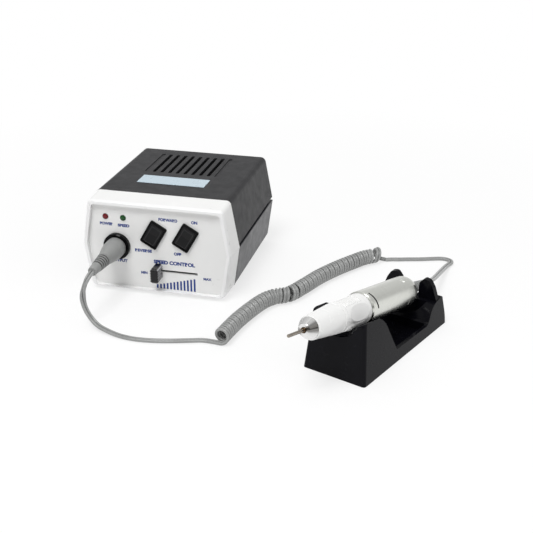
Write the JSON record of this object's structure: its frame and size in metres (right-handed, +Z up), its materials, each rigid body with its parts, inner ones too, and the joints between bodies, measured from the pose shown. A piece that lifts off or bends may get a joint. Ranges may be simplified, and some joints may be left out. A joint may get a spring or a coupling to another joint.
{
  "type": "nail drill set",
  "caption": "Control box with rocker switches and a speed slider, a curly cord, and a turned rotary handpiece lying in its stand; drives small bits.",
  "frame": {"origin": "middle of the set on the table, below the middle of its box without the cord", "axes": "+X to the right along the front panel, +Y to the rear of the control box, +Z up"},
  "size_m": [0.2965, 0.2803, 0.08],
  "materials": {
    "shell_black": "satin",
    "white_plastic": "satin",
    "rubber_black": "matte",
    "black_plastic": "gloss",
    "cradle_black": "satin",
    "red_lens": "gloss",
    "green_lens": "gloss",
    "board_green": "matte",
    "component_black": "matte",
    "component_blue": "satin",
    "brass": "satin",
    "steel": "satin",
    "winding": "gloss",
    "armature": "matte",
    "magnet": "matte",
    "aluminium": "satin",
    "polished_steel": "polished",
    "cord_grey": "satin"
  },
  "bodies": {
    "set": {"base_shell": "shell_black", "top_cover": "shell_black", "front_panel": "white_plastic", "rear_panel": "shell_black", "foot_front_left": "rubber_black", "foot_front_right": "rubber_black", "foot_rear_left": "rubber_black", "foot_rear_right": "rubber_black", "case_screws": "steel", "output_socket": "black_plastic", "power_led": "red_lens", "speed_led": "green_lens", "indicator_board": "board_green", "direction_switch_frame": "black_plastic", "power_switch_frame": "black_plastic", "switch_terminals": "brass", "slide_potentiometer": "steel", "control_board": "board_green", "heat_sink": "aluminium", "power_transistor": "component_black", "capacitor": "component_blue", "rectifier": "component_black", "transformer_core": "steel", "transformer_winding": "winding", "transformer_screws": "steel", "foot_pedal_jack": "black_plastic", "fuse_holder": "black_plastic", "mains_gland": "black_plastic", "plug_contacts": "brass", "plug_body": "cord_grey", "plug_boot": "cord_grey", "cord_lead": "cord_grey", "cord_curl": "cord_grey", "cord_tail": "cord_grey", "cradle": "cradle_black"},
    "handpiece": {"nose_cone": "polished_steel", "front_sleeve": "white_plastic", "spindle_housing": "steel", "collar": "aluminium", "lock_ring": "black_plastic", "barrel": "aluminium", "rear_cap": "aluminium", "handpiece_boot": "cord_grey", "front_bearing": "steel", "rear_bearing": "steel", "motor_can": "steel", "motor_magnets": "magnet", "brush_holder": "black_plastic", "carbon_brushes": "component_black"},
    "chuck_ring": {"twist_ring": "white_plastic"},
    "spindle_line": {"spindle": "steel", "collet": "steel", "test_pin": "steel", "coupling": "steel", "armature": "armature", "commutator": "brass"},
    "direction_rocker": {"direction_rocker": "black_plastic"},
    "power_rocker": {"power_rocker": "black_plastic"},
    "speed_slider": {"slider_lever": "steel", "slider_knob": "black_plastic"}
  },
  "joints": [
    {"name": "direction_rocker_tip", "type": "hinge", "parent": "set", "child": "direction_rocker", "pos_m": [-0.0869, 0.012, 0.052], "axis": [0.866, 0, -0.5], "range_deg": [0, 18]},
    {"name": "power_rocker_tip", "type": "hinge", "parent": "set", "child": "power_rocker", "pos_m": [-0.0601, 0.012, 0.052], "axis": [0.866, 0, -0.5], "range_deg": [0, 18]},
    {"name": "speed_slide", "type": "slide", "parent": "set", "child": "speed_slider", "axis": [1, 0, 0], "range_m": [0, 0.03]},
    {"name": "handpiece_lift", "type": "slide", "parent": "set", "child": "handpiece", "axis": [0, 0, 1], "range_m": [0, 0.05], "deforming": ["cord_tail"]},
    {"name": "chuck_twist", "type": "hinge", "parent": "handpiece", "child": "chuck_ring", "pos_m": [0.06464, -0.12402, 0.05394], "axis": [0.3667, 0.9123, -0.1822], "range_deg": [0, 60]},
    {"name": "spindle_spin", "type": "hinge", "parent": "handpiece", "child": "spindle_line", "pos_m": [0.06464, -0.12402, 0.05394], "axis": [0.3667, 0.9123, -0.1822], "continuous": true}
  ]
}
